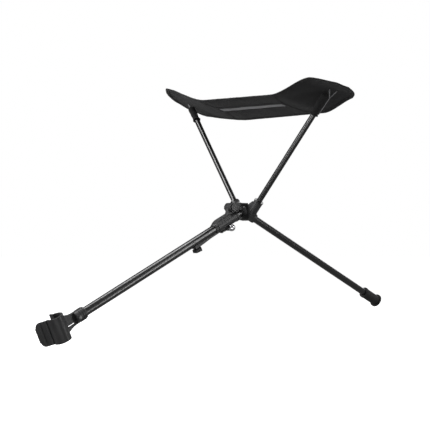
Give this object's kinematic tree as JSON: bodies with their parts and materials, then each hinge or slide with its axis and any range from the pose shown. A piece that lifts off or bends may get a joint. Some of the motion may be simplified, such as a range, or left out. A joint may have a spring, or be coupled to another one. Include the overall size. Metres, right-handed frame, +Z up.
{
  "type": "clip-on leg rest",
  "caption": "Folding leg rest: a narrow fabric sling on two angled poles, with a front leg and a long leg that clips to a chair tube.",
  "frame": {"origin": "centre of the clamp, on the axis of the chair tube that it grips", "axes": "+Z up, +X from the chair towards the foot, +Y across, to the side where the clamp's mouth opens"},
  "size_m": [0.9738, 0.52, 0.545],
  "materials": {
    "moulded_black": "fine moulded grain, black, satin",
    "liner_rubber": "black soft liner",
    "tube_paint": "dark grey powder coat, semi-gloss",
    "bush_plastic": "black low-friction plastic",
    "knob_plastic": "black moulded knob",
    "bright_nut": "bright plated",
    "zinc_steel": "zinc plated",
    "black_steel": "black oxide",
    "foot_rubber": "black rubber, fine matt",
    "core_aluminium": "plain aluminium",
    "canvas": "black woven polyester canvas",
    "mesh_cloth": "open grey mesh",
    "pocket_cloth": "black doubled canvas",
    "batten_plastic": "dark flat batten",
    "tape": "woven tape"
  },
  "bodies": {
    "clamp": {"clamp_body": "moulded_black", "clamp_liner": "liner_rubber", "socket_rivet": "black_steel", "long_tube": "tube_paint", "long_tube_plug": "moulded_black"},
    "head": {"head_sleeve": "moulded_black", "sleeve_bush": "bush_plastic", "clamp_stud": "zinc_steel", "dome_nut": "bright_nut", "stud_washers": "zinc_steel", "pivot_bolt": "black_steel", "pivot_nut": "black_steel", "friction_washers": "zinc_steel"},
    "star_knob": {"star_knob": "knob_plastic"},
    "lock_knob": {"lock_knob": "knob_plastic", "lock_stud": "zinc_steel"},
    "hub": {"hub_body": "moulded_black", "left_socket_ring": "tube_paint", "right_socket_ring": "tube_paint", "left_pole": "tube_paint", "right_pole": "tube_paint", "left_pole_tip": "bush_plastic", "right_pole_tip": "bush_plastic", "front_tube": "tube_paint", "front_tube_pin": "black_steel", "front_foot": "foot_rubber", "foot_core": "core_aluminium", "seat_rear_band": "canvas", "seat_front_band": "canvas", "seat_mesh": "mesh_cloth", "left_wing": "canvas", "right_wing": "canvas", "left_pocket": "pocket_cloth", "right_pocket": "pocket_cloth", "left_batten": "batten_plastic", "right_batten": "batten_plastic", "hem_tab": "tape"}
  },
  "joints": [
    {"name": "head_slide", "type": "slide", "parent": "clamp", "child": "head", "axis": [0.9026, 0, 0.4305], "range_m": [0, 0.045]},
    {"name": "hub_fold", "type": "hinge", "parent": "head", "child": "hub", "pos_m": [0.45545, 0, 0.24139], "axis": [0, 1, 0], "range_deg": [-100, 0]},
    {"name": "star_knob_spin", "type": "hinge", "parent": "head", "child": "star_knob", "pos_m": [0.44722, 0.014, 0.19825], "axis": [0, 1, 0], "continuous": true},
    {"name": "lock_knob_spin", "type": "hinge", "parent": "head", "child": "lock_knob", "pos_m": [0.36062, 0, 0.14985], "axis": [-0.4305, 0, 0.9026], "continuous": true}
  ]
}
